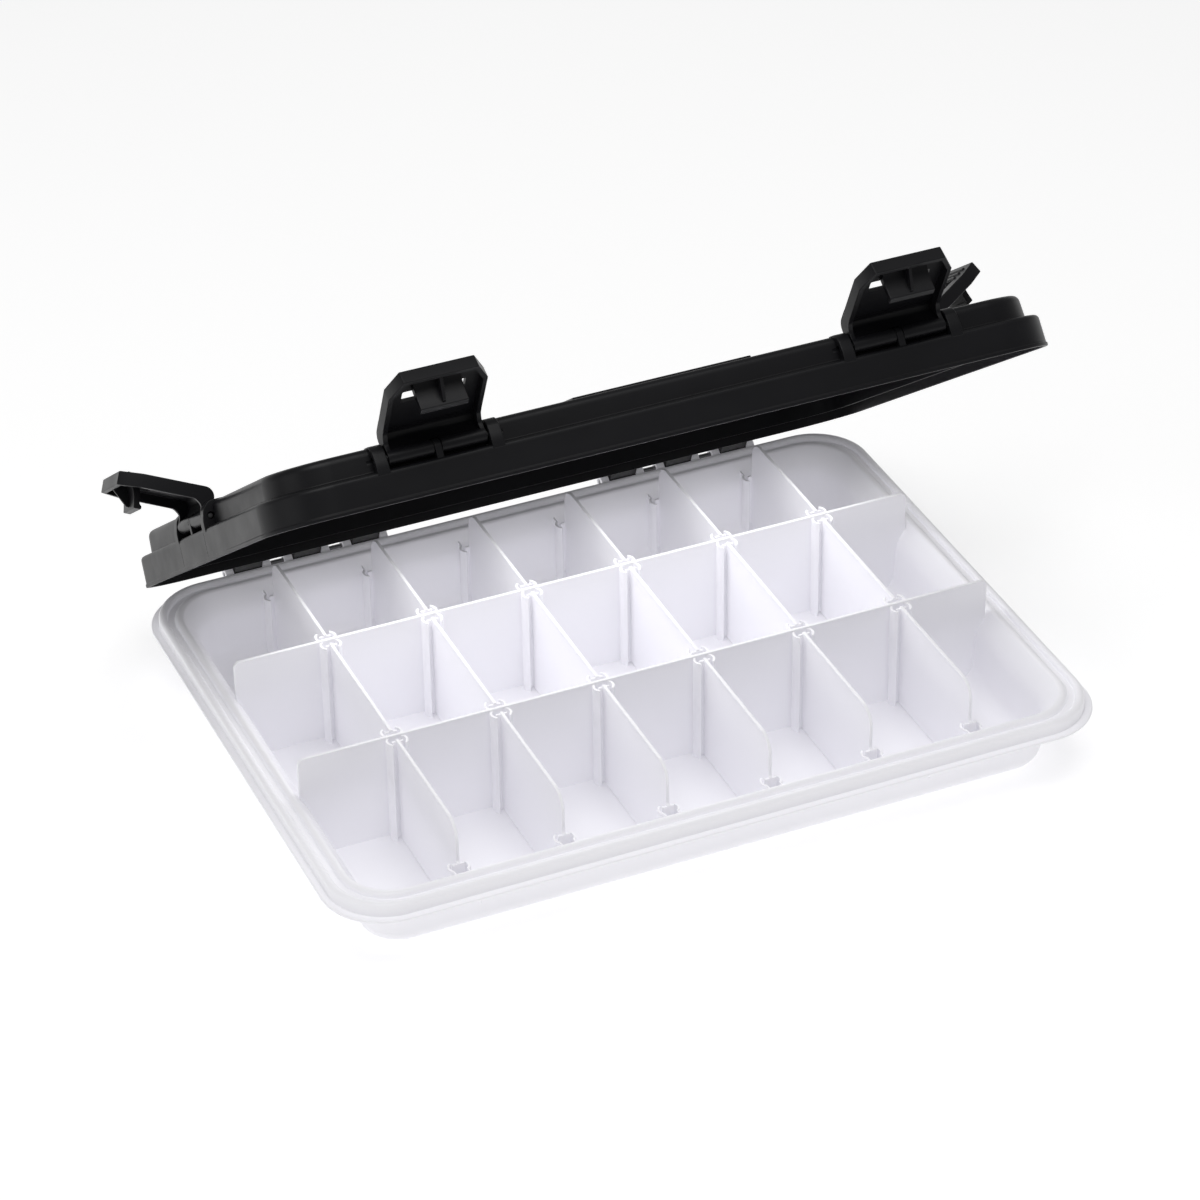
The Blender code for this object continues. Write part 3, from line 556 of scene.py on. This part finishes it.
def latch_side_frame():
    return frame_matrix(Vector((0, -1, 0)), Vector((0, 0, -1)), Vector((1, 0, 0)))


def latch_face_frame():
    """Outlines (across, down), extruded outwards."""
    return frame_matrix(Vector((1, 0, 0)), Vector((0, 0, -1)), Vector((0, -1, 0)))


def latch_outline(inset):
    """The latch's face, tapered towards its end; an inset one keeps its walls' thickness."""
    wide = LATCH_HALF_WIDTH - inset
    right = [(wide, 2.6), (wide, LATCH_TAPER_START - 0.26 * inset),
             (LATCH_END_HALF - 0.59 * inset, LATCH_LENGTH - inset)]
    return right + [(-x, down) for x, down in reversed(right)]


def latch_arm_outline(solid):
    """The curved top of the latch: a solid cheek, or the thin top between the cheeks."""
    heel = 4.5
    outer = arc((LATCH_REACH - heel, 3.0), heel, -90, 0, 10)
    start = arc((0, 0), LATCH_BARREL_RADIUS - 0.05, 90, 300, 20)
    if solid:
        edge = LATCH_REACH - LATCH_DEPTH
        inner = soften([(LATCH_REACH, 9.0, 0), (edge, 9.0, 0), (edge, 6.5, 1.5),
                        (4.4, 3.4, 1.5), (1.6, 3.1, 0)], 4, closed=False)
    else:
        thickness = 1.9
        inner = [(LATCH_REACH, 4.0), (LATCH_REACH - thickness, 4.0)]
        inner += arc((LATCH_REACH - heel, 3.0), heel - thickness, 0, -90, 8)
        inner += [(4.6, 0.6), (2.6, 1.8)]
    return start + outer + inner


def latch_hook_outline():
    """The hook, from its root on the latch's face to the lip that pulls on the tray."""
    return soften([(11.2, 36.0, 0), (10.2, 33.6, 1.2), (7.8, 31.5, 1.5), (4.5, 30.3, 1.5),
                   (1.0, 29.7, 1.0), (-0.9, 29.5, 0.5), (-0.9, 26.2, 0.5), (0.5, 26.2, 0.5),
                   (1.2, 27.2, 0.6), (4.5, 27.6, 1.5), (8.5, 28.3, 1.5), (11.2, 29.0, 0)], 4)


def latch_hook_rib_outline():
    """The gusset along the middle of the hook, from the end wall's edge to the lip."""
    return [(11.2, 38.0), (6.8, 37.9), (0.4, 30.8), (0.4, 29.2), (6.0, 30.2), (11.2, 34.0)]


def latch_hollows():
    """The latch's open back, its open neck and the window above the hook."""
    there = latch_face_frame()
    inner_edge = LATCH_REACH - LATCH_DEPTH
    face_back = LATCH_REACH - LATCH_FACE
    neck = LATCH_HALF_WIDTH - LATCH_WALL
    neck_outline = [(-neck, 0.0), (neck, 0.0), (neck, 8.0), (-neck, 8.0)]
    window = soften([(-13.6, 20.4, 0.8), (13.6, 20.4, 0.8), (13.6, 27.2, 0.8),
                     (-13.6, 27.2, 0.8)], 3)
    return [plate(latch_outline(LATCH_WALL), inner_edge - 2.0, face_back, there, 0.3),
            plate(neck_outline, inner_edge - 1.0, face_back, there, 0.0),
            plate(window, inner_edge, LATCH_REACH + 2.0, there, 0.0)]


def latch_additions():
    """Cheeks, curved top, hook, barrel and grip ribs."""
    there = latch_side_frame()
    edge = LATCH_HALF_WIDTH
    cheek = latch_arm_outline(True)
    bodies = [plate(cheek, -edge, -edge + LATCH_WALL, there, 0.25),
              plate(cheek, edge - LATCH_WALL, edge, there, 0.25),
              plate(latch_arm_outline(False), -edge + 0.6, edge - 0.6, there, 0.0),
              plate(latch_hook_outline(), -HOOK_HALF, HOOK_HALF, there, 0.3),
              plate(latch_hook_rib_outline(), -0.7, 0.7, there, 0.2),
              cylinder(LATCH_BARREL_RADIUS, -edge, edge, (0, 0), there, 0.2)]
    for down in GRIP_ROWS:
        grip = [(LATCH_REACH - 0.5, down - 0.9), (LATCH_REACH + 0.8, down - 0.5),
                (LATCH_REACH + 0.8, down + 0.5), (LATCH_REACH - 0.5, down + 0.9)]
        bodies.append(plate(grip, -GRIP_HALF, GRIP_HALF, there, 0.25))
    return bodies


def latch_mesh():
    face = plate(latch_outline(0.0), LATCH_REACH - LATCH_DEPTH, LATCH_REACH, latch_face_frame(),
                 0.45, 3)
    there = latch_side_frame()
    slot = cylinder(LATCH_BARREL_RADIUS + 0.5, -LATCH_LUG_HALF - GAP, LATCH_LUG_HALF + GAP,
                    (0, 0), there)
    reach = LATCH_HALF_WIDTH + 2.0
    bore = cylinder(LATCH_PIN_RADIUS + GAP, -reach, reach, (0, 0), there, sides=24)
    steps = [("DIFFERENCE", [hollow]) for hollow in latch_hollows()]
    steps += [("UNION", latch_additions()), ("DIFFERENCE", [slot]), ("DIFFERENCE", [bore])]
    return combine(face, steps)


# ---------------------------------------------------------------- materials

PLASTIC_IOR = 1.49
BLACK_SPECULAR = 0.2
# Painted glow: the colour and strength of a weak emission on the white plastic. It stands in for
# light passing through the plastic and lifts its shade.
PAINTED_GLOW_COLOUR = (0.95, 0.94, 1.0, 1.0)
WHITE_PAINTED_GLOW = 0.08


def new_material(name):
    material = bpy.data.materials.new(name)
    material.use_nodes = True
    tree = material.node_tree
    shader = tree.nodes["Principled BSDF"]
    coordinates = tree.nodes.new("ShaderNodeTexCoord")
    return material, tree, shader, coordinates.outputs["Object"]


def noise(tree, where, scale, detail=3.0, stretch=None):
    """A noise texture in metres, optionally stretched along the axes."""
    if stretch:
        mapping = tree.nodes.new("ShaderNodeMapping")
        mapping.inputs["Scale"].default_value = stretch
        tree.links.new(where, mapping.inputs["Vector"])
        where = mapping.outputs["Vector"]
    texture = tree.nodes.new("ShaderNodeTexNoise")
    texture.inputs["Scale"].default_value = scale
    texture.inputs["Detail"].default_value = detail
    tree.links.new(where, texture.inputs["Vector"])
    return texture.outputs["Fac"]


def remap(tree, value, low, high):
    """The noise's whole span, 0.2 to 0.8, mapped to low and high."""
    node = tree.nodes.new("ShaderNodeMapRange")
    node.inputs["From Min"].default_value = 0.2
    node.inputs["From Max"].default_value = 0.8
    node.inputs["To Min"].default_value = low
    node.inputs["To Max"].default_value = high
    tree.links.new(value, node.inputs["Value"])
    return node.outputs["Result"]


def blend_colours(tree, factor, first, second):
    node = tree.nodes.new("ShaderNodeMix")
    node.data_type = "RGBA"
    node.inputs["A"].default_value = (*first, 1.0)
    node.inputs["B"].default_value = (*second, 1.0)
    tree.links.new(factor, node.inputs["Factor"])
    return node.outputs["Result"]


def bump(tree, shader, layers):
    """Stack height layers (value, height in metres) into the shader's normal."""
    previous = None
    for value, height in layers:
        node = tree.nodes.new("ShaderNodeBump")
        node.inputs["Strength"].default_value = 1.0
        node.inputs["Distance"].default_value = height
        tree.links.new(value, node.inputs["Height"])
        if previous:
            tree.links.new(previous, node.inputs["Normal"])
        previous = node.outputs["Normal"]
    tree.links.new(previous, shader.inputs["Normal"])


def white_plastic(name, light, dark, rough):
    """White polypropylene with flow marks, a fine grain and a painted glow: a weak emission that
    stands in for light passing through the plastic and lifts its shade.
    """
    material, tree, shader, where = new_material(name)
    flow = remap(tree, noise(tree, where, 9.0, 2.0, (1.0, 1.6, 2.2)), 0.0, 1.0)
    tree.links.new(blend_colours(tree, flow, light, dark), shader.inputs["Base Color"])
    wear = noise(tree, where, 55.0, 2.0)
    tree.links.new(remap(tree, wear, rough - 0.04, rough + 0.05), shader.inputs["Roughness"])
    shader.inputs["IOR"].default_value = PLASTIC_IOR
    # Painted glow: an emission that stands in for light passing through the plastic and lifts its
    # shade.
    shader.inputs["Emission Color"].default_value = PAINTED_GLOW_COLOUR
    shader.inputs["Emission Strength"].default_value = WHITE_PAINTED_GLOW
    grain = noise(tree, where, 260.0, 2.0)
    bump(tree, shader, [(noise(tree, where, 30.0, 1.0), 0.00003), (grain, 0.000005)])
    return material


def black_plastic(name, rough, grain_height):
    """Black polypropylene: fine grain, faint flow streaks and softly varying gloss."""
    material, tree, shader, where = new_material(name)
    streaks = remap(tree, noise(tree, where, 24.0, 6.0, (0.6, 2.4, 2.4)), 0.0, 1.0)
    colour = blend_colours(tree, streaks, (0.0045, 0.0045, 0.0055), (0.0075, 0.0075, 0.009))
    tree.links.new(colour, shader.inputs["Base Color"])
    gloss = noise(tree, where, 70.0, 5.0)
    tree.links.new(remap(tree, gloss, rough - 0.05, rough + 0.06), shader.inputs["Roughness"])
    shader.inputs["IOR"].default_value = PLASTIC_IOR
    shader.inputs["Specular IOR Level"].default_value = BLACK_SPECULAR
    grain = noise(tree, where, 1500.0, 2.0)
    bump(tree, shader, [(noise(tree, where, 45.0, 2.0), 0.00006), (grain, grain_height)])
    return material


def seal_rubber():
    material, tree, shader, where = new_material("soft_rubber")
    dust = remap(tree, noise(tree, where, 140.0, 6.0), 0.0, 1.0)
    colour = blend_colours(tree, dust, (0.03, 0.03, 0.034), (0.055, 0.055, 0.058))
    tree.links.new(colour, shader.inputs["Base Color"])
    tree.links.new(remap(tree, noise(tree, where, 400.0), 0.68, 0.85), shader.inputs["Roughness"])
    bump(tree, shader, [(noise(tree, where, 1800.0, 3.0), 0.00003)])
    return material


def drawn_steel():
    material, tree, shader, where = new_material("drawn_steel")
    lines = noise(tree, where, 900.0, 4.0, (0.02, 1.0, 1.0))
    colour = blend_colours(tree, remap(tree, lines, 0.0, 1.0), (0.11, 0.11, 0.115),
                           (0.2, 0.2, 0.205))
    tree.links.new(colour, shader.inputs["Base Color"])
    shader.inputs["Metallic"].default_value = 1.0
    tree.links.new(remap(tree, lines, 0.22, 0.38), shader.inputs["Roughness"])
    bump(tree, shader, [(lines, 0.00001)])
    return material


# ---------------------------------------------------------------- pieces

def joint(name):
    return next(entry for entry in frame["joints"] if entry["name"] == name)


def hinge_turn():
    """The lid's turn from shut to its rest pose, about the hinge axis."""
    hinge = joint("lid_hinge")
    point = Matrix.Translation(hinge["pos_m"])
    opening = hinge["range_deg"][0]
    return point @ Matrix.Rotation(math.radians(opening), 4, "X") @ point.inverted()


def latch_place(name, centre, turn):
    """A latch's matrix at rest: its pivot on the shut lid, opened, then turned with the lid."""
    half = FLANGE_WIDTH / 2 if turn % 180 == 0 else FLANGE_LENGTH / 2
    pivot = Vector((0, -half + LATCH_PIVOT_INSET, FLANGE_HEIGHT + LATCH_PIVOT_Z))
    place = Matrix.Translation(Vector(centre) * MM) @ Matrix.Rotation(math.radians(turn), 4, "Z")
    opening = joint(f"latch_{name}_pivot")["range_deg"][0]
    opened = Matrix.Rotation(math.radians(opening), 4, "X")
    return hinge_turn() @ place @ Matrix.Translation(pivot * MM) @ opened


def build_pieces():
    to_metres = Matrix.Scale(MM, 4)
    tray_white = white_plastic("tray_white", (0.945, 0.94, 0.97), (0.925, 0.92, 0.955), 0.39)
    divider_white = white_plastic("divider_white", (0.94, 0.935, 0.968), (0.92, 0.915, 0.952), 0.38)
    lid_black = black_plastic("lid_black", 0.38, 0.000008)
    latch_black = black_plastic("latch_black", 0.37, 0.000006)

    add_piece("tray_moulding", tray_mesh(), tray_white, "tray", ["tray"],
              to_metres)
    for row in ("back", "middle", "front"):
        shape = divider_mesh(row)
        for number, x in enumerate(column_positions(), start=1):
            node = f"divider_{row}_{number}"
            place = to_metres @ Matrix.Translation((x, 0, FLANGE_HEIGHT))
            add_piece(f"{node}_moulding", shape.copy(), divider_white, node,
                      [node], place)
        bpy.data.meshes.remove(shape)

    lid_turn = hinge_turn() @ to_metres
    add_piece("lid_moulding", lid_mesh(), lid_black, "lid", ["lid"], lid_turn)
    add_piece("seal_ring", gasket_mesh(), seal_rubber(), "lid", ["gasket"],
              lid_turn)
    shape = latch_mesh()
    for name, centre, turn in latch_places():
        add_piece(f"latch_{name}_moulding", shape.copy(), latch_black, f"latch_{name}",
                  [f"latch_{name}"],
                  latch_place(name, centre, turn) @ to_metres)
    bpy.data.meshes.remove(shape)

    steel = drawn_steel()
    for node, item in frame["nodes"].items():
        if "pin" in node:
            item.material_slots[0].material = steel


# ---------------------------------------------------------------- studio

# Angles in degrees, lens and sensor in millimetres, and everything else in metres.
CAMERA_AZIMUTH = -23.2
CAMERA_ELEVATION = 34.05
CAMERA_ROLL = -0.91
CAMERA_DISTANCE = 2.0006
CAMERA_TARGET = Vector((0.01432, 0.04868, 0.0295))
CAMERA_LENS = 133.6
CAMERA_SENSOR = 36.0

WORLD_STRENGTH = 0.3
FLOOR_HALF_SIZE = 8.0
FLOOR_SUNK = 0.0002
FLOOR_GLOW = 0.38

# Name, place, what it points at, size and watts. The last one is a small fill light that
# reaches the compartments under the lid.
SOFTBOXES = [
    ("top", (-0.2, -0.4, 2.2), (0, 0, 0), (1.8, 1.3), 23.0),
    ("left", (-2.0, -0.3, 0.95), (0, 0, 0.05), (1.4, 1.0), 4.0),
    ("under_lid", (0, 0.022, 0.1), (0, -0.02, 0.02), (0.3, 0.12), 0.19),
]


def add_camera():
    """The camera at its azimuth, elevation and roll, looking at its target."""
    a, e, r = (math.radians(d) for d in (CAMERA_AZIMUTH, CAMERA_ELEVATION, CAMERA_ROLL))
    back = Vector((math.sin(a) * math.cos(e), -math.cos(a) * math.cos(e), math.sin(e)))
    right = Vector((math.cos(a), math.sin(a), 0))
    up = back.cross(right)
    right, up = (right * math.cos(r) + up * math.sin(r), up * math.cos(r) - right * math.sin(r))
    data = bpy.data.cameras.new("camera")
    data.lens = CAMERA_LENS
    data.sensor_width = CAMERA_SENSOR
    data.clip_end = 50.0
    data.dof.use_dof = False
    camera = bpy.data.objects.new("camera", data)
    camera.matrix_world = frame_matrix(right, up, back, CAMERA_TARGET + back * CAMERA_DISTANCE)
    bpy.context.scene.collection.objects.link(camera)
    bpy.context.scene.camera = camera


def add_floor():
    """A plain pale floor that glows a little, like a light table."""
    bm = bmesh.new()
    bmesh.ops.create_grid(bm, x_segments=8, y_segments=8, size=FLOOR_HALF_SIZE)
    mesh = finish_bmesh(bm, "floor")
    material, tree, shader, where = new_material("floor_white")
    patches = remap(tree, noise(tree, where, 3.0), 0.0, 1.0)
    colour = blend_colours(tree, patches, (0.91, 0.91, 0.91), (0.9, 0.9, 0.9))
    tree.links.new(colour, shader.inputs["Base Color"])
    shader.inputs["Roughness"].default_value = 0.9
    shader.inputs["Specular IOR Level"].default_value = 0.1
    shader.inputs["Emission Color"].default_value = (1.0, 1.0, 1.0, 1.0)
    shader.inputs["Emission Strength"].default_value = FLOOR_GLOW
    mesh.materials.append(material)
    floor = bpy.data.objects.new("floor", mesh)
    floor.location.z = -FLOOR_SUNK
    bpy.context.scene.collection.objects.link(floor)


def add_softbox(name, place, target, size, power):
    data = bpy.data.lights.new(name, "AREA")
    data.shape = "RECTANGLE"
    data.size, data.size_y = size
    data.energy = power
    light = bpy.data.objects.new(name, data)
    light.visible_camera = False
    light.location = place
    light.rotation_euler = (Vector(target) - Vector(place)).to_track_quat("-Z", "Y").to_euler()
    bpy.context.scene.collection.objects.link(light)


def add_studio():
    world = bpy.data.worlds.new("studio")
    world.use_nodes = True
    background = world.node_tree.nodes["Background"]
    background.inputs["Color"].default_value = (1.0, 1.0, 1.0, 1.0)
    background.inputs["Strength"].default_value = WORLD_STRENGTH
    bpy.context.scene.world = world
    for softbox in SOFTBOXES:
        add_softbox(*softbox)
    add_floor()
    bpy.context.scene.view_settings.view_transform = "Standard"


build_pieces()
add_studio()
add_camera()
